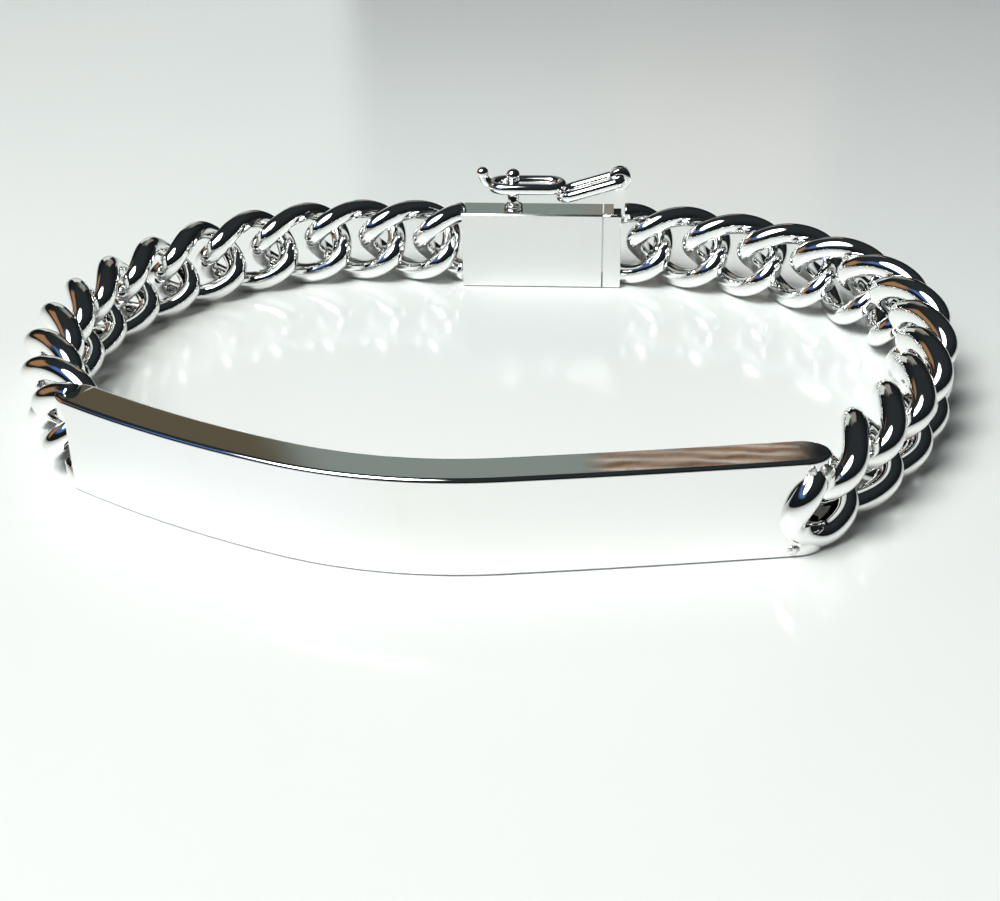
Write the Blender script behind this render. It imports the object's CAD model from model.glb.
"""Looks of a polished silver identity bracelet that stands closed on its edge, on a pale glossy surface.

Lengths are written in millimetres, as in the part's source, and become metres when a mesh is made.
A place on the plan is (x, y, heading in degrees). In a piece's own frame +X runs anticlockwise round the
loop as seen from above, +Y points into the wrist hollow and +Z is up.
"""
import math

import bmesh
import bpy
import numpy as np
from mathutils import Matrix, Vector


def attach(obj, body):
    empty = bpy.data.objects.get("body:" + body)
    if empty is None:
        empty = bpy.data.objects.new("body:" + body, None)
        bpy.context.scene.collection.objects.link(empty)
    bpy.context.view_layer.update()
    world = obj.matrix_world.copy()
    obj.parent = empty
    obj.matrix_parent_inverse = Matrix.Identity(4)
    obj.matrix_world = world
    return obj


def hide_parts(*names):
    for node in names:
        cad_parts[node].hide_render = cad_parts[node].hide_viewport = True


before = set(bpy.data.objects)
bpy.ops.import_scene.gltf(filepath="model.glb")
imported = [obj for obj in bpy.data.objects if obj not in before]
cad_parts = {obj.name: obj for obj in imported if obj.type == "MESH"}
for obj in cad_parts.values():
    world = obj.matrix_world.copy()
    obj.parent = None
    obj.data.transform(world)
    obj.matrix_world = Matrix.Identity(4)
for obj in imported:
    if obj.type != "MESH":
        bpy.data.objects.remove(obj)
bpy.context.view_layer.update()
MM = 0.001
BRACELET, CATCH = "bracelet", "catch"

# Sizes of the real pieces, repeated from the part's source
PLATE_HEIGHT, PLATE_THICKNESS, PLATE_BEVEL = 7.0, 3.0, 0.3
LEFT_WING, MIDDLE, RIGHT_WING = (17.5, 12), (14.5, 29), (19, 2)
LUG_HEIGHT, LUG_RADIUS, LUG_OFFSET = 1.7, 1.45, 0.5
WIRE, LINK_HEIGHT, CHAIN_THICKNESS, LINK_GAP = 1.8, 7.5, 4.6, 0.6
END_PINCH, STRAND_SHARE, FLANK_SHARE = 0.1, 0.02, 0.12
BOX_LENGTH, BOX_THICKNESS, BOX_HEIGHT, BOX_WALL, BOX_BEVEL = 12.7, 3.3, 7.0, 0.5, 0.15
END_PLATE, MOUTH_GAP, LEAF, TONGUE_GAP, FOLD_GAP = 1.6, 0.1, 0.45, 0.2, 1.2
CATCH_WIRE, STUD_REACH, STUD_LOOP_LENGTH, WAIST_REACH = 1.0, 9.6, 7.2, 5.5
BALL, BALL_GAP, BALL_HEIGHT, STUD_LOOP_HEIGHT, WAIST_HEIGHT = 1.3, 0.1, 3.05, 2.2, 1.3
PIN_HEIGHT, PIN_INSET, KNUCKLE, PIN_CLEARANCE, KNUCKLE_GAP, PIN_STEP = 2.9, 0.2, 2.0, 0.05, 0.12, 0.08
LIP_RISE, LIP_REACH = 1.1, 0.9
LOOP_MIDDLE = (0.25, 0.07)
PLATE_MIDDLE, CLASP_PLACE = (-6.3, -25.2, -11), (12.3, 22.7, 175)
# The right end link points to the chain's first chosen place, less a small turn
FIRST_LINK_OFFSET, FIRST_LINK_TURN, FIRST_LINK_AIM = (1.5, 0.25), -1.5, (27.4, -16.3)
FIRST_LINK_SIZE, FIRST_LINK_LEAN, FIRST_LINK_TILT = (7.2, 6.8, 3.1), 9, 5
LAST_BAIL_OFFSET, LAST_BAIL_TURN = 0.5, -20
CHAIN_PITCH = 5.0968
SWAY_PEAK = max(math.sin(t) + FLANK_SHARE * math.sin(2 * t) for t in np.linspace(0, math.pi, 181))
# Half the length, half the height and the sway to each face of a link's centreline
LINK_HALF = (CHAIN_PITCH - (WIRE + LINK_GAP) / 2, (LINK_HEIGHT - WIRE) / 2,
             (CHAIN_THICKNESS - WIRE) / 2 / SWAY_PEAK)
FIRST_HALF = ((FIRST_LINK_SIZE[0] - WIRE) / 2, (FIRST_LINK_SIZE[1] - WIRE) / 2,
              (FIRST_LINK_SIZE[2] - WIRE) / 2 / SWAY_PEAK)
RIGHT_LINKS = [name for name in sorted(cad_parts) if name.startswith("link_right_")]
LEFT_LINKS = [name for name in sorted(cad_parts) if name.startswith("link_left_")]

# Fineness of the meshes, and small edges that only the looks have
LINK_STEPS, BAIL_STEPS, LINK_SIDES, WIRE_SIDES, TURNED_SIDES = 80, 40, 24, 20, 40
PLATE_STEPS = (48, 64, 24)
EDGE_STEPS = 6
BOX_EDGE, LEAF_EDGE, LUG_EDGE, KNUCKLE_EDGE = 0.07, 0.06, 0.06, 0.08
MERGE = 1e-7
STUD_FOOT, STUD_STEM, CATCH_EYE = 1.3, 0.8, 0.55

# Solder at the plate's right end, in the frame of that end: middle, half sizes and seed of each grain
SOLDER_GRAINS = (((1.2, -1.05, 5.85), (0.7, 0.5, 0.65), 3),
                 ((0.3, -1.4, 6.1), (0.34, 0.25, 0.6), 5),
                 ((-0.5, -1.4, 0.65), (0.5, 0.25, 0.4), 7))

# The camera in millimetres and degrees
CAMERA_PLACE, CAMERA_PITCH, CAMERA_ROLL, LENS = (0.66, -107.37, 51.44), 27.92, -1.06, 54.0


# ---- places on the plan -------------------------------------------------------------------------

def moved(place, along=0.0, aside=0.0, turn=0.0):
    h = math.radians(place[2])
    return (place[0] + along * math.cos(h) - aside * math.sin(h),
            place[1] + along * math.sin(h) + aside * math.cos(h), place[2] + turn)


def arc_end(place, length, bend):
    r = math.degrees(length / bend)
    a, b = math.radians(place[2]), math.radians(place[2] + bend)
    centre = (place[0] - r * math.sin(a), place[1] + r * math.cos(a))
    return (centre[0] + r * math.sin(b), centre[1] - r * math.cos(b), place[2] + bend)


def about_middle(place):
    return (place[0] - LOOP_MIDDLE[0], place[1] - LOOP_MIDDLE[1], place[2])


PLATE_MIDDLE, CLASP = about_middle(PLATE_MIDDLE), about_middle(CLASP_PLACE)
MIDDLE_START = arc_end(PLATE_MIDDLE, -MIDDLE[0] / 2, -MIDDLE[1] / 2)
MIDDLE_END = arc_end(PLATE_MIDDLE, MIDDLE[0] / 2, MIDDLE[1] / 2)
PLATE_LEFT = arc_end(MIDDLE_START, -LEFT_WING[0], -LEFT_WING[1])
PLATE_RIGHT = arc_end(MIDDLE_END, *RIGHT_WING)
FIRST_LINK_X, FIRST_LINK_Y = moved(PLATE_RIGHT, *FIRST_LINK_OFFSET)[:2]
FIRST_LINK = (FIRST_LINK_X, FIRST_LINK_Y, FIRST_LINK_TURN + math.degrees(math.atan2(
    FIRST_LINK_AIM[1] - LOOP_MIDDLE[1] - FIRST_LINK_Y, FIRST_LINK_AIM[0] - LOOP_MIDDLE[0] - FIRST_LINK_X)))
LAST_BAIL = moved(PLATE_LEFT, -LAST_BAIL_OFFSET, 0, LAST_BAIL_TURN)
BOX_START = END_PLATE + MOUTH_GAP
CLASP_LENGTH = BOX_START + BOX_LENGTH


def node_place(name):
    """A link's place on the plan in mm, read from its CAD node: its middle and its long direction."""
    co = np.array([v.co[:2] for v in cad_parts[name].data.vertices]) / MM
    co = np.unique(np.round(co, 4), axis=0)
    middle = co.mean(0)
    directions = np.linalg.eigh(np.cov((co - middle).T))[1]
    x, y = directions[:, 1]
    return (middle[0], middle[1], math.degrees(math.atan2(y, x)))


# ---- mesh making --------------------------------------------------------------------------------

def to_plan(points, place):
    """Points in a piece's own frame, in mm, to the row frame in metres."""
    p = np.asarray(points, float)
    h = math.radians(place[2])
    c, s = math.cos(h), math.sin(h)
    out = np.column_stack([p[:, 0] * c - p[:, 1] * s + place[0], p[:, 0] * s + p[:, 1] * c + place[1], p[:, 2]])
    return out * MM


class Shape:
    """Gathers quads and polygons of one piece, in the row frame."""

    def __init__(self):
        self.points, self.faces = [], []

    def rings(self, rings, closed=False):
        """Rings of as many points each, joined one to the next, with a face on each open end."""
        base, n = len(self.points), len(rings[0])
        for ring in rings:
            self.points.extend(map(tuple, ring))
        count = len(rings)
        for i in range(count if closed else count - 1):
            a, b = base + i * n, base + ((i + 1) % count) * n
            for k in range(n):
                m = (k + 1) % n
                self.faces.append((a + k, a + m, b + m, b + k))
        if not closed:
            self.faces.append(tuple(base + k for k in reversed(range(n))))
            self.faces.append(tuple(base + (count - 1) * n + k for k in range(n)))
        return self

    def tube(self, path, radius, place, closed=False):
        """Round wire along a path in a piece's own frame. radius is one number or one for each point."""
        p = np.asarray(path, float)
        count = len(p)
        radius = np.broadcast_to(np.asarray(radius, float), (count,))
        if closed:
            tangent = np.roll(p, -1, 0) - np.roll(p, 1, 0)
        else:
            tangent = np.gradient(p, axis=0)
        tangent /= np.linalg.norm(tangent, axis=1)[:, None]
        side = np.cross(tangent[0], (0.31, 0.53, 0.79))  # any direction that no wire runs in
        side /= np.linalg.norm(side)
        sides_along = []
        for t in tangent:
            side = side - (side @ t) * t
            side /= np.linalg.norm(side)
            sides_along.append(side)
        twist = 0.0
        if closed:
            last = sides_along[-1] - (sides_along[-1] @ tangent[0]) * tangent[0]
            twist = math.atan2(np.cross(last, sides_along[0]) @ tangent[0], last @ sides_along[0])
        rings = []
        for i, (t, s) in enumerate(zip(tangent, sides_along)):
            up = np.cross(t, s)
            turn = twist * i / count
            angles = np.linspace(0, 2 * math.pi, WIRE_SIDES, endpoint=False) + turn
            ring = p[i] + radius[i] * (np.outer(np.cos(angles), s) + np.outer(np.sin(angles), up))
            rings.append(to_plan(ring, place))
        return self.rings(rings, closed)

    def lathe(self, profile, place, origin, axis="Z", closed=False):
        """Turned shape: profile of (radius, height) about an axis through origin."""
        angles = np.linspace(0, 2 * math.pi, TURNED_SIDES, endpoint=False)
        rings = []
        for r, h in profile:
            c, s, z = r * np.cos(angles), r * np.sin(angles), np.full(TURNED_SIDES, float(h))
            ring = {"Z": (c, s, z), "Y": (s, z, c)}[axis]
            rings.append(to_plan(np.column_stack(ring) + np.asarray(origin, float), place))
        return self.rings(rings, closed)

    def piece(self, name, material, slot, body, bevel=0.0, flat=False):
        """The gathered shape as a piece. Its edges get a small bevel, and flat faces are shaded flat."""
        mesh = bpy.data.meshes.new(name)
        mesh.from_pydata(self.points, [], self.faces)
        close_up(mesh, MERGE)
        obj = bpy.data.objects.new(name, mesh)
        bpy.context.scene.collection.objects.link(obj)
        mesh.materials.append(material)
        mesh.polygons.foreach_set("use_smooth", [True] * len(mesh.polygons))
        if bevel:
            m = obj.modifiers.new("edge", "BEVEL")
            m.width, m.segments, m.limit_method, m.angle_limit = bevel * MM, 2, "ANGLE", math.radians(38)
            m.harden_normals = False
        elif flat:
            crisp(mesh)
        if flat:
            shade_flat_faces(obj)
        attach(obj, body)
        return obj


def shade_flat_faces(obj):
    m = obj.modifiers.new("flat faces", "WEIGHTED_NORMAL")
    m.mode, m.weight, m.keep_sharp = "FACE_AREA", 100, True


def crisp(mesh, angle=50.0):
    """Keeps the shading of faces that meet at a corner apart."""
    b = bmesh.new()
    b.from_mesh(mesh)
    for edge in b.edges:
        edge.smooth = edge.calc_face_angle(0.0) < math.radians(angle)
    b.to_mesh(mesh)
    b.free()


def close_up(mesh, distance):
    """Merges doubles and turns every shell's faces outwards."""
    b = bmesh.new()
    b.from_mesh(mesh)
    bmesh.ops.remove_doubles(b, verts=b.verts, dist=distance)
    bmesh.ops.recalc_face_normals(b, faces=b.faces)
    b.to_mesh(mesh)
    b.free()


# ---- Geometry Nodes -----------------------------------------------------------------------------

class Graph:
    """One Geometry Nodes tree: named inputs, and a method that adds a node and fills its sockets."""

    def __init__(self, name, inputs):
        self.tree = bpy.data.node_groups.new(name, "GeometryNodeTree")
        self.tree.interface.new_socket("Geometry", in_out="INPUT", socket_type="NodeSocketGeometry")
        self.keys = {}
        for label, (kind, value) in inputs.items():
            socket = self.tree.interface.new_socket(label, in_out="INPUT", socket_type="NodeSocket" + kind)
            if value is not None:
                socket.default_value = value
            self.keys[label] = socket.identifier
        self.tree.interface.new_socket("Geometry", in_out="OUTPUT", socket_type="NodeSocketGeometry")
        self.group_in = self.tree.nodes.new("NodeGroupInput")
        self.group_out = self.tree.nodes.new("NodeGroupOutput")

    def given(self, label):
        return Value(self, self.group_in.outputs[label])

    def add(self, kind, settings=None, sockets=None, output=0):
        node = self.tree.nodes.new(kind)
        for key, value in (settings or {}).items():
            setattr(node, key, value)
        for key, value in (sockets or {}).items():
            feed(self, node.inputs[key], value)
        return Value(self, node.outputs[output])

    def finish(self, geometry):
        """Makes a geometry the tree's result."""
        self.tree.links.new(geometry.socket, self.group_out.inputs[0])

    def apply(self, obj, values, name):
        """Runs the tree on an object and returns the result as a plain object of its own."""
        modifier = obj.modifiers.new("tree", "NODES")
        modifier.node_group = self.tree
        for label, value in values.items():
            modifier[self.keys[label]] = value
        bpy.context.view_layer.update()
        graph = bpy.context.evaluated_depsgraph_get()
        mesh = bpy.data.meshes.new_from_object(obj.evaluated_get(graph))
        mesh.name = name
        bpy.data.objects.remove(obj)
        result = bpy.data.objects.new(name, mesh)
        bpy.context.scene.collection.objects.link(result)
        return result


def feed(graph, socket, value):
    """Links a value to a socket, or sets the socket where the value is plain."""
    if isinstance(value, Value):
        graph.tree.links.new(value.socket, socket)
    else:
        socket.default_value = value


class Value:
    """A socket that reads as a number in Python expressions. Each operator adds one Math node."""

    def __init__(self, graph, socket):
        self.graph, self.socket = graph, socket

    def math(self, operation, *others, swap=False):
        node = self.graph.tree.nodes.new("ShaderNodeMath")
        node.operation = operation
        values = [self, *others]
        if swap:
            values[0], values[1] = values[1], values[0]
        for socket, value in zip(node.inputs, values):
            feed(self.graph, socket, value)
        return Value(self.graph, node.outputs[0])

    def __add__(self, other): return self.math("ADD", other)
    def __radd__(self, other): return self.math("ADD", other)
    def __sub__(self, other): return self.math("SUBTRACT", other)
    def __rsub__(self, other): return self.math("SUBTRACT", other, swap=True)
    def __mul__(self, other): return self.math("MULTIPLY", other)
    def __truediv__(self, other): return self.math("DIVIDE", other)

    def sin(self): return self.math("SINE")
    def cos(self): return self.math("COSINE")

    def step(self, low, high):
        """0 below low, 1 above high and smooth between them."""
        return self.graph.add("ShaderNodeMapRange", {"interpolation_type": "SMOOTHSTEP"},
                              {"Value": self, "From Min": low, "From Max": high})

    def hump(self, middle, half, soft):
        """1 within half of middle, fading to 0 over soft."""
        return 1.0 - (self - middle).math("ABSOLUTE").step(half, half + soft)


def curb_chain_tree():
    """Curb links of round wire, one on each point, turned to the point's heading."""
    g = Graph("curb_chain", {
        "Half Length": ("Float", 0.0038), "Height": ("Float", 0.0075), "Sway": ("Float", 0.0012),
        "Wire": ("Float", 0.0018), "End Pinch": ("Float", 0.1), "Strand Share": ("Float", 0.02),
        "Flank Share": ("Float", 0.12), "Steps": ("Int", LINK_STEPS), "Sides": ("Int", LINK_SIDES),
        "Material": ("Material", None)})
    steps, wire = g.given("Steps"), g.given("Wire")
    circle = g.add("GeometryNodeCurvePrimitiveCircle", {"mode": "RADIUS"}, {"Resolution": steps, "Radius": 1.0})
    index = g.add("GeometryNodeInputIndex")
    turn = index / steps * (2 * math.pi)
    share = g.given("Strand Share")
    x = g.given("Half Length") * ((1.0 - share) * turn.cos() + share * (turn * 3.0).cos())
    y = g.given("Sway") * ((turn * 2.0).sin() + g.given("Flank Share") * (turn * 4.0).sin())
    z = (g.given("Height") - wire) * 0.5 * turn.sin() * (1.0 - g.given("End Pinch") * turn.cos() * turn.cos())
    place = g.add("ShaderNodeCombineXYZ", None, {0: x, 1: y, 2: z + g.given("Height") * 0.5})
    centreline = g.add("GeometryNodeSetPosition", None, {"Geometry": circle, "Position": place})
    section = g.add("GeometryNodeCurvePrimitiveCircle", {"mode": "RADIUS"},
                    {"Resolution": g.given("Sides"), "Radius": wire * 0.5})
    link = g.add("GeometryNodeCurveToMesh", None, {"Curve": centreline, "Profile Curve": section})
    heading = g.add("GeometryNodeInputNamedAttribute", {"data_type": "FLOAT"}, {"Name": "heading"})
    turned = g.add("ShaderNodeCombineXYZ", None, {2: heading})
    links = g.add("GeometryNodeInstanceOnPoints", None,
                  {"Points": g.given("Geometry"), "Instance": link, "Rotation": turned})
    real = g.add("GeometryNodeRealizeInstances", None, {"Geometry": links})
    smooth = g.add("GeometryNodeSetShadeSmooth", None, {"Geometry": real})
    g.finish(g.add("GeometryNodeSetMaterial", None, {"Geometry": smooth, "Material": g.given("Material")}))
    return g


def plate_bar_tree():
    """The plate's bar: an upright rectangle with rounded long edges, swept along the plate's middle line."""
    g = Graph("plate_bar", {"Height": ("Float", 0.007), "Thickness": ("Float", 0.003),
                            "Edge": ("Float", 0.0003), "Material": ("Material", None)})
    section = g.add("GeometryNodeCurvePrimitiveQuadrilateral", {"mode": "RECTANGLE"},
                    {"Width": g.given("Thickness"), "Height": g.given("Height")})
    rounded = g.add("GeometryNodeFilletCurve", {"mode": "POLY"},
                    {"Curve": section, "Count": 5, "Radius": g.given("Edge")})
    upright = g.add("GeometryNodeSetCurveNormal", {"mode": "Z_UP"}, {"Curve": g.given("Geometry")})
    bar = g.add("GeometryNodeCurveToMesh", None,
                {"Curve": upright, "Profile Curve": rounded, "Fill Caps": True})
    smooth = g.add("GeometryNodeSetShadeSmooth", None, {"Geometry": bar})
    real = g.add("GeometryNodeRealizeInstances", None, {"Geometry": smooth})
    g.finish(g.add("GeometryNodeSetMaterial", None, {"Geometry": real, "Material": g.given("Material")}))
    return g


# ---- materials ----------------------------------------------------------------------------------

class Paint(Graph):
    """The node tree of a material or a world, with the same expressions as a Geometry Nodes tree."""

    def __init__(self, owner):
        owner.use_nodes = True
        self.owner, self.tree = owner, owner.node_tree

    def spots(self, scale, detail=2.0, stretch=(1, 1, 1)):
        """Soft noise over the piece, 0 to 1."""
        where = self.add("ShaderNodeTexCoord", output="Object")
        mapped = self.add("ShaderNodeMapping", None, {"Vector": where, "Scale": stretch})
        return self.add("ShaderNodeTexNoise", None, {"Vector": mapped, "Scale": scale, "Detail": detail}, "Fac")

    def blend(self, share, first, second):
        """The first colour where share is 0, the second where it is 1."""
        node = self.tree.nodes.new("ShaderNodeMix")
        node.data_type = "RGBA"
        feed(self, node.inputs["Factor"], share)
        for socket, value in ((node.inputs[6], first), (node.inputs[7], second)):
            if isinstance(value, Value):
                feed(self, socket, value)
            else:
                socket.default_value = (*value, 1)
        return Value(self, node.outputs[2])

    def bump(self, height, strength, distance, under=None):
        """A normal from a height, over the normal of another bump where one is given."""
        sockets = {"Strength": strength, "Distance": distance, "Height": height}
        return self.add("ShaderNodeBump", None, {**sockets, "Normal": under} if under else sockets)

    def set(self, **sockets):
        """Fills the shader's sockets and returns the material."""
        shader = self.tree.nodes["Principled BSDF"]
        for key, value in sockets.items():
            feed(self, shader.inputs[key.replace("_", " ")], value)
        return self.owner


SILVER, PLATE_SILVER, TARNISH = (0.95, 0.95, 0.94), (0.955, 0.955, 0.945), (0.80, 0.775, 0.71)


def polished_silver(name, tint, waviness, roughness):
    """Mirror-polished silver: faint buffing marks, soft waves left by the wheel and a breath of tarnish."""
    m = Paint(bpy.data.materials.new(name))
    cloud = m.spots(160.0, 3.0)
    marks = m.spots(2600.0, 2.0, stretch=(1, 1, 0.25))
    tarnish = cloud.step(0.58, 0.82) * 0.35
    colour = m.blend(tarnish, tint, TARNISH)
    rough = roughness + cloud.step(0.35, 0.75) * roughness * 0.8 + marks.step(0.55, 0.8) * 0.02
    waves = m.bump(m.spots(320.0, 1.0), waviness, 0.12 * MM)
    fine = m.bump(marks, 0.02, 0.01 * MM, waves)
    return m.set(Base_Color=colour, Metallic=1.0, Roughness=rough, Normal=fine)


def rough_solder(name):
    """Granular solder and sawn wire ends: bright grains, dull hollows."""
    m = Paint(bpy.data.materials.new(name))
    grain = m.spots(2300.0, 4.0)
    colour = m.blend(grain.step(0.35, 0.6), (0.52, 0.50, 0.45), (0.93, 0.93, 0.91))
    rough = 0.22 + (1.0 - grain.step(0.3, 0.7)) * 0.3
    return m.set(Base_Color=colour, Metallic=1.0, Roughness=rough, Normal=m.bump(grain, 0.9, 0.12 * MM))


plate_silver = polished_silver("plate_silver", PLATE_SILVER, 0.05, 0.035)
chain_silver = polished_silver("chain_silver", SILVER, 0.10, 0.03)
clasp_silver = polished_silver("clasp_silver", SILVER, 0.05, 0.06)
catch_silver = polished_silver("catch_silver", SILVER, 0.05, 0.04)
solder = rough_solder("solder")


# ---- the chain ----------------------------------------------------------------------------------

def chain(name, nodes, tree):
    """The free links of one side of the chain, one on the place of each of its nodes."""
    places = [node_place(node) for node in nodes]
    mesh = bpy.data.meshes.new(name + "_points")
    mesh.from_pydata([(p[0] * MM, p[1] * MM, 0) for p in places], [], [])
    heading = mesh.attributes.new("heading", "FLOAT", "POINT")
    heading.data.foreach_set("value", [math.radians(p[2]) for p in places])
    points = bpy.data.objects.new(name + "_points", mesh)
    bpy.context.scene.collection.objects.link(points)
    obj = tree.apply(points, {
        "Half Length": LINK_HALF[0] * MM, "Height": LINK_HEIGHT * MM, "Sway": LINK_HALF[2] * MM,
        "Wire": WIRE * MM, "End Pinch": END_PINCH, "Strand Share": STRAND_SHARE, "Flank Share": FLANK_SHARE,
        "Steps": LINK_STEPS, "Sides": LINK_SIDES, "Material": chain_silver}, name)
    close_up(obj.data, MERGE / 10)
    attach(obj, BRACELET)
    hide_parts(*nodes)
    return obj


curb = curb_chain_tree()
chain("chain_right", RIGHT_LINKS, curb)
chain("chain_left", LEFT_LINKS, curb)


def link_path(half, start=0, end=360, steps=LINK_STEPS):
    """Centreline of a link, or of a stretch of one for a soldered bail, about the link's middle."""
    t = np.radians(np.linspace(start, end, steps, endpoint=(end - start) < 360))
    x = half[0] * ((1 - STRAND_SHARE) * np.cos(t) + STRAND_SHARE * np.cos(3 * t))
    y = half[2] * (np.sin(2 * t) + FLANK_SHARE * np.sin(4 * t))
    z = half[1] * np.sin(t) * (1 - END_PINCH * np.cos(t) ** 2)
    return np.column_stack([x, y, z])


def leaned(path, lean, tilt):
    """A path leaned to +Y and tilted to +X, lifted to stand on its lowest wire."""
    turn = Matrix.Rotation(math.radians(tilt), 3, "Y") @ Matrix.Rotation(math.radians(-lean), 3, "X")
    out = path @ np.array(turn).T
    return out + (0, 0, WIRE / 2 - out[:, 2].min())


# ---- the plate ----------------------------------------------------------------------------------

def plate_line():
    """The plate's middle line at half its height, from its left end to its right end."""
    places = [PLATE_LEFT]
    stretches = ((PLATE_LEFT, LEFT_WING), (MIDDLE_START, MIDDLE), (MIDDLE_END, RIGHT_WING))
    for (start, (length, bend)), steps in zip(stretches, PLATE_STEPS):
        places += [arc_end(start, length * k / steps, bend * k / steps) for k in range(1, steps + 1)]
    return [(p[0] * MM, p[1] * MM, PLATE_HEIGHT / 2 * MM) for p in places]


def make_plate():
    """The plate's bar, swept along its middle line."""
    curve = bpy.data.curves.new("plate_line", "CURVE")
    curve.dimensions = "3D"
    line = plate_line()
    spline = curve.splines.new("POLY")
    spline.points.add(len(line) - 1)
    for point, co in zip(spline.points, line):
        point.co = (*co, 1)
    path = bpy.data.objects.new("plate_line", curve)
    bpy.context.scene.collection.objects.link(path)
    obj = plate_bar_tree().apply(path, {
        "Height": PLATE_HEIGHT * MM, "Thickness": PLATE_THICKNESS * MM, "Edge": PLATE_BEVEL * MM,
        "Material": plate_silver}, "plate")
    close_up(obj.data, MERGE)
    crisp(obj.data)
    shade_flat_faces(obj)
    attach(obj, BRACELET)
    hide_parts("id_plate")


def lug_ring(inset, z, steps=40):
    """Plan outline of a rounded end at one height: square at the bar, half an ellipse past it."""
    t = np.linspace(-math.pi / 2, math.pi / 2, steps)
    side, reach = PLATE_THICKNESS / 2 - inset, LUG_OFFSET + LUG_RADIUS - inset
    return np.column_stack([reach * np.cos(t), side * np.sin(t), np.full(steps, z)])


def make_lugs():
    """The plate's rounded ends, above and below the notches that the chain turns in."""
    shape = Shape()
    for place, turn in ((PLATE_LEFT, 180), (PLATE_RIGHT, 0)):
        for flat, outer in ((LUG_HEIGHT, 0.0), (PLATE_HEIGHT - LUG_HEIGHT, PLATE_HEIGHT)):
            inwards = 1 if outer < flat else -1
            rings = [lug_ring(LUG_EDGE, flat), lug_ring(0.0, flat - LUG_EDGE * inwards)]
            for k in range(EDGE_STEPS + 1):
                a = math.pi / 2 * k / EDGE_STEPS
                rings.append(lug_ring(PLATE_BEVEL * (1 - math.cos(a)),
                                      outer + inwards * PLATE_BEVEL * (1 - math.sin(a))))
            shape.rings([to_plan(ring, moved(place, turn=turn)) for ring in rings])
    shape.piece("plate_lugs", plate_silver, "plate", BRACELET, flat=True)


def make_bails():
    """The link and the half links that are soldered to the plate and the clasp."""
    shape = Shape()
    upright = (0, 0, LINK_HEIGHT / 2)
    first = leaned(link_path(FIRST_HALF), FIRST_LINK_LEAN, FIRST_LINK_TILT)
    shape.tube(first, WIRE / 2, FIRST_LINK, closed=True)
    backward = link_path(LINK_HALF, 90, 270, BAIL_STEPS) + upright
    shape.tube(backward, WIRE / 2, LAST_BAIL)
    shape.tube(backward, WIRE / 2, CLASP)
    shape.tube(link_path(LINK_HALF, -90, 90, BAIL_STEPS) + upright, WIRE / 2, moved(CLASP, CLASP_LENGTH))
    shape.piece("soldered_bails", chain_silver, "chain", BRACELET)


make_plate()
make_lugs()
make_bails()


# ---- the clasp ----------------------------------------------------------------------------------

def bar_section(thickness, height, bevel):
    """Upright section with bevelled corners, from its bottom outer corner round."""
    y = thickness / 2
    return [(bevel - y, 0), (y - bevel, 0), (y, bevel), (y, height - bevel),
            (y - bevel, height), (bevel - y, height), (-y, height - bevel), (-y, bevel)]


def across(section, x, rise=0.0):
    """A section set across the clasp at x."""
    return [(x, y, z + rise) for y, z in section]


def make_box():
    """The hollow box, and the ball-headed stud that the catch closes over."""
    shape = Shape()
    outer = bar_section(BOX_THICKNESS, BOX_HEIGHT, BOX_BEVEL)
    inner = bar_section(BOX_THICKNESS - 2 * BOX_WALL, BOX_HEIGHT - 2 * BOX_WALL, 0.02)
    rings = [across(outer, CLASP_LENGTH), across(outer, BOX_START), across(inner, BOX_START, BOX_WALL),
             across(inner, CLASP_LENGTH - BOX_WALL, BOX_WALL)]
    shape.rings([to_plan(r, CLASP) for r in rings])
    shape.piece("clasp_box_shell", clasp_silver, "clasp", BRACELET, bevel=BOX_EDGE, flat=True)
    stud = Shape()
    r = BALL / 2
    x = PIN_INSET + STUD_REACH
    foot, stem = STUD_FOOT * r, STUD_STEM * r
    profile = [(0.001, -0.2), (foot, -0.2), (foot, 0.32), (1.22 * r, 0.45), (1.05 * r, 0.5), (0.86 * r, 0.56),
               (stem, 0.7), (stem, BALL_HEIGHT - 0.62 * r)]
    for k in range(9, 33):
        a = math.pi * k / 32
        profile.append((max(r * math.sin(math.pi - a), 0.001), BALL_HEIGHT + r * math.cos(math.pi - a)))
    stud.lathe(profile, CLASP, (x, 0, BOX_HEIGHT))
    obj = stud.piece("stud", catch_silver, "clasp", BRACELET)
    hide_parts("clasp_box")


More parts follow.
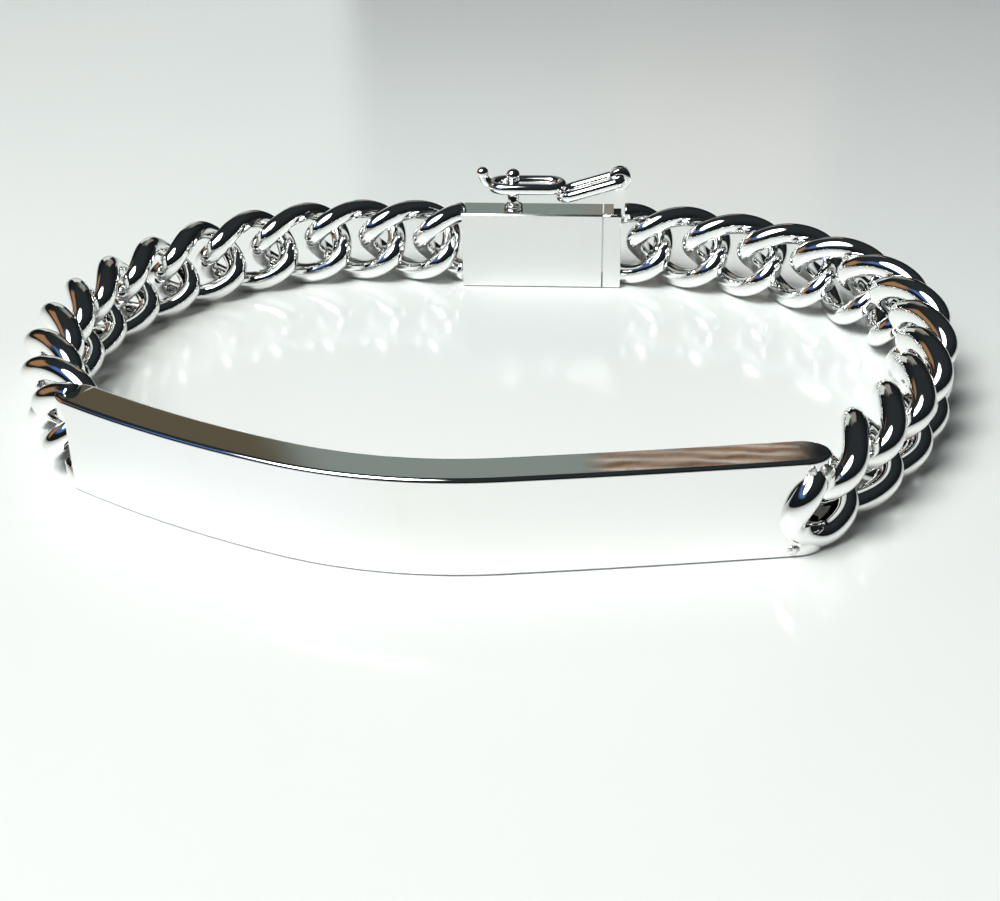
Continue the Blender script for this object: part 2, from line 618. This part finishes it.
def make_tongue():
    """The tongue's end plate and folded leaf, and the knuckle that the catch turns on."""
    shape = Shape()
    outer = bar_section(BOX_THICKNESS, BOX_HEIGHT, BOX_BEVEL)
    shape.rings([to_plan(across(outer, END_PLATE), CLASP), to_plan(across(outer, 0), CLASP)])
    half = (BOX_THICKNESS - 2 * BOX_WALL) / 2 - TONGUE_GAP
    tip, mouth = CLASP_LENGTH - BOX_WALL - FOLD_GAP, BOX_START + LEAF
    low, high = BOX_WALL + TONGUE_GAP, BOX_HEIGHT - BOX_WALL - TONGUE_GAP
    outline = [(END_PLATE - LEAF, -half), (tip, -half), (tip + LEAF, 0), (mouth, half), (mouth, half - LEAF),
               (tip - LEAF, -half + LEAF), (END_PLATE - LEAF, -half + LEAF)]
    shape.rings([to_plan([(x, y, z) for x, y in outline], CLASP) for z in (low, high)])
    shape.piece("clasp_tongue_leaf", clasp_silver, "clasp", BRACELET, bevel=LEAF_EDGE, flat=True)
    knuckle = Shape()
    z = BOX_HEIGHT + PIN_HEIGHT
    arm = BALL / 2 + BALL_GAP + CATCH_WIRE / 2
    length = 2 * (arm - CATCH_WIRE / 2 - KNUCKLE_GAP)
    hole, rim, edge = CATCH_WIRE / 2 - PIN_STEP + PIN_CLEARANCE, KNUCKLE / 2, KNUCKLE_EDGE
    h = length / 2
    profile = [(hole, -h), (rim - edge, -h), (rim, -h + edge), (rim, h - edge), (rim - edge, h), (hole, h)]
    knuckle.lathe(profile, CLASP, (PIN_INSET, 0, z), axis="Y", closed=True)
    q = KNUCKLE / 4
    post = [(PIN_INSET - q, -h + 0.02), (PIN_INSET + q, -h + 0.02), (PIN_INSET + q, h - 0.02),
            (PIN_INSET - q, h - 0.02)]
    knuckle.rings([to_plan([(x, y, zz) for x, y in post], CLASP) for zz in (BOX_HEIGHT - 0.3, z - 0.7)])
    obj = knuckle.piece("knuckle", catch_silver, "clasp", BRACELET, flat=True)
    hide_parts("clasp_tongue")


def make_catch():
    """The figure-eight catch: the sloping loop on the hinge pin, the level loop over the stud and the lip."""
    arm = BALL / 2 + BALL_GAP + CATCH_WIRE / 2
    pin_radius, wire = CATCH_WIRE / 2 - PIN_STEP, CATCH_WIRE / 2
    pin_z, loop_z = BOX_HEIGHT + PIN_HEIGHT, BOX_HEIGHT + STUD_LOOP_HEIGHT
    slope = math.asin((PIN_HEIGHT - WAIST_HEIGHT) / WAIST_REACH)
    bend = WAIST_REACH - arm
    # The hinge loop in its own slope: its pin end is square, its waist end round
    path, radius = [], []
    for k in range(13):
        y = -arm + 2 * arm * k / 12
        path.append((0.0, y))
        radius.append(pin_radius if abs(y) < arm - 0.35 else wire)
    path[0], path[-1] = (0.06, -arm + 0.02), (0.06, arm - 0.02)
    for k in range(1, 9):
        path.append((bend * k / 8, arm))
        radius.append(wire)
    for k in range(1, 16):
        a = math.pi / 2 - math.pi * k / 16
        path.append((bend + arm * math.cos(a), arm * math.sin(a)))
        radius.append(wire)
    for k in range(8):
        path.append((bend * (8 - k) / 8, -arm))
        radius.append(wire)
    c, s = math.cos(slope), math.sin(slope)
    path = [(PIN_INSET + x * c, y, pin_z - x * s) for x, y in path]
    shape = Shape().tube(path, radius, CLASP, closed=True)
    start = PIN_INSET + WAIST_REACH - CATCH_WIRE / 4 + arm
    end = start + STUD_LOOP_LENGTH - CATCH_WIRE - 2 * arm
    loop = [(end + arm * math.cos(a), arm * math.sin(a), loop_z)
            for a in np.linspace(-math.pi / 2, math.pi / 2, 17)]
    loop += [(start + arm * math.cos(a), arm * math.sin(a), loop_z)
             for a in np.linspace(math.pi / 2, 1.5 * math.pi, 17)]
    shape.tube(loop, wire, CLASP, closed=True)
    x0 = end + arm
    lip = []
    for k in range(15):
        t = k / 14
        reach = (LIP_REACH + 0.15) * math.sin(t * math.pi / 2)
        lip.append((x0 - 0.15 + reach, 0, loop_z + LIP_RISE * t ** 1.6))
    taper = [pin_radius + 0.06 * t for t in np.linspace(0, 1, 15)]
    shape.tube(lip, taper, CLASP)
    ball = []
    for k in range(1, 16):
        a = math.pi * k / 16
        ball.append((CATCH_EYE * math.sin(a), CATCH_EYE * math.cos(a)))
    shape.lathe(ball, CLASP, (x0 + LIP_REACH, 0, loop_z + LIP_RISE))
    obj = shape.piece("catch_wire", catch_silver, "catch", CATCH)
    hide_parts("safety_catch")


make_box()
make_tongue()
make_catch()


# ---- solder -------------------------------------------------------------------------------------

def lump(shape, place, centre, size, seed, sides=28):
    """A rounded grain of solder, a little uneven."""
    rng = np.random.default_rng(seed)
    waves = rng.normal(0, 1, (6, 3))
    rings = []
    for k in range(1, 20):
        a = math.pi * k / 20
        ring = []
        for j in range(sides):
            b = 2 * math.pi * j / sides
            d = np.array((math.sin(a) * math.cos(b), math.sin(a) * math.sin(b), math.cos(a)))
            r = 1 + 0.07 * sum(math.sin(3.1 * float(w @ d) + i) for i, w in enumerate(waves)) / 2
            ring.append(tuple(np.asarray(centre) + r * d * np.asarray(size)))
        rings.append(to_plan(ring, place))
    shape.rings(rings)


solder_shape = Shape()
for centre, size, seed in SOLDER_GRAINS:
    lump(solder_shape, PLATE_RIGHT, centre, size, seed)
solder_shape.piece("solder", solder, "plate", BRACELET)


# ---- floor, light and camera --------------------------------------------------------------------

def make_floor():
    """A pale glossy surface, a hair under the bracelet."""
    mesh = bpy.data.meshes.new("floor")
    half = 3.0
    corners = [(-half, -half, 0), (half, -half, 0), (half, half, 0), (-half, half, 0)]
    mesh.from_pydata(corners, [], [(0, 1, 2, 3)])
    obj = bpy.data.objects.new("floor", mesh)
    bpy.context.scene.collection.objects.link(obj)
    m = Paint(bpy.data.materials.new("pale_gloss"))
    cloud = m.spots(9.0, 2.0)
    colour = m.blend(cloud.step(0.3, 0.7), (0.84, 0.87, 0.85), (0.88, 0.89, 0.87))
    mesh.materials.append(m.set(Base_Color=colour, Roughness=0.12))
    obj.location.z = -0.01 * MM


# What the room shows in the silver: (middle, half width, softness) of azimuths and of heights in degrees, and
# a colour. Azimuth 0 is straight behind the bracelet and grows to the right.
BEHIND = (27.0, 9.0, 8.0)
ROOM_LOW, ROOM_HIGH = (0.008, 0.010, 0.011), (0.022, 0.027, 0.030)
GREY_WALL = ((-2.5, 5.5, 5.0), BEHIND, (0.22, 0.26, 0.24))
OLIVE_WALL = ((-14.0, 3.0, 4.0), BEHIND, (0.10, 0.085, 0.055))
WOOD = ((8.5, 3.2, 2.0), BEHIND, (0.06, 0.025, 0.008), (0.40, 0.18, 0.07), (0.75, 0.80, 0.74))
PALE_PANEL = ((-15.0, 9.0, 1.5), (11.0, 9.0, 2.0), (0.62, 0.66, 0.62))
WARM_SIDE = ((-70.0, 12.0, 10.0), (20.0, 8.0, 8.0), (0.42, 0.22, 0.10))
BLUE_GLOW = ((-118.0, 22.0, 14.0), (34.0, 5.0, 9.0), (0.08, 0.16, 0.42))
# The ceiling light, as a disc on the plan of directions
CEILING_PLACE, CEILING_RIM, CEILING_COLOUR = (-0.42, -0.30), (0.26, 0.34), (6.4, 6.7, 6.8)


def make_world():
    """A dark room with a pale ceiling light: what polished silver has to reflect."""
    world = bpy.data.worlds.new("room")
    bpy.context.scene.world = world
    g = Paint(world)
    background = g.tree.nodes["Background"]
    xyz = g.add("ShaderNodeSeparateXYZ", None, {0: g.add("ShaderNodeTexCoord", output="Generated")})
    x, y, z = (Value(g, o) for o in xyz.socket.node.outputs)
    azimuth = x.math("ARCTAN2", y) * (180 / math.pi)
    height = z.math("ARCSINE") * (180 / math.pi)

    def share(azimuths, heights):
        return azimuth.hump(*azimuths) * height.hump(*heights)

    colour = g.blend(height.step(5.0, 60.0), ROOM_LOW, ROOM_HIGH)
    for azimuths, heights, wall in (GREY_WALL, OLIVE_WALL):
        colour = g.blend(share(azimuths, heights), colour, wall)
    azimuths, heights, dark, light, glare = WOOD
    streak = (height * 11.0 + azimuth * 0.9).sin().step(-0.2, 0.9)
    glint = (height * 7.3 - azimuth * 0.6).sin().step(0.55, 0.95)
    wood = g.blend(glint, g.blend(streak, dark, light), glare)
    colour = g.blend(share(azimuths, heights), colour, wood)
    for (azimuths, heights, patch), strength in ((PALE_PANEL, 1.0), (WARM_SIDE, 0.8), (BLUE_GLOW, 1.0)):
        colour = g.blend(share(azimuths, heights) * strength, colour, patch)
    across_x, across_y = x - CEILING_PLACE[0], y - CEILING_PLACE[1]
    off_middle = (across_x * across_x + across_y * across_y).math("SQRT")
    ceiling = (1.0 - off_middle.step(*CEILING_RIM)) * z.step(0.1, 0.3)
    feed(g, background.inputs["Color"], g.blend(ceiling, colour, CEILING_COLOUR))


def make_lamp(name, place, target, size, power, colour):
    """A round lamp that looks at a target."""
    light = bpy.data.lights.new(name, "AREA")
    light.shape, light.size, light.energy, light.color = "DISK", size, power, colour
    obj = bpy.data.objects.new(name, light)
    obj.location = place
    obj.rotation_euler = (Vector(target) - Vector(place)).to_track_quat("-Z", "Y").to_euler()
    bpy.context.scene.collection.objects.link(obj)


def make_camera():
    """Read from the photograph: 54 mm lens, 51 mm above the floor, pitched down and rolled a little."""
    camera = bpy.data.cameras.new("camera")
    camera.lens, camera.sensor_width, camera.sensor_fit = LENS, 36.0, "HORIZONTAL"
    camera.clip_start = 0.005
    obj = bpy.data.objects.new("camera", camera)
    pitch, roll = math.radians(CAMERA_PITCH), math.radians(CAMERA_ROLL)
    turn = Matrix.Rotation(math.pi / 2 - pitch, 4, "X") @ Matrix.Rotation(roll, 4, "Z")
    obj.matrix_world = Matrix.Translation(Vector(CAMERA_PLACE) * MM) @ turn
    bpy.context.scene.collection.objects.link(obj)
    bpy.context.scene.camera = obj


make_floor()
make_world()
make_lamp("overhead", (-0.10, -0.11, 0.26), (-0.01, -0.03, 0), 0.12, 0.46, (1.0, 1.0, 0.94))
make_camera()
view = bpy.context.scene.view_settings
view.view_transform, view.look = "Standard", "None"
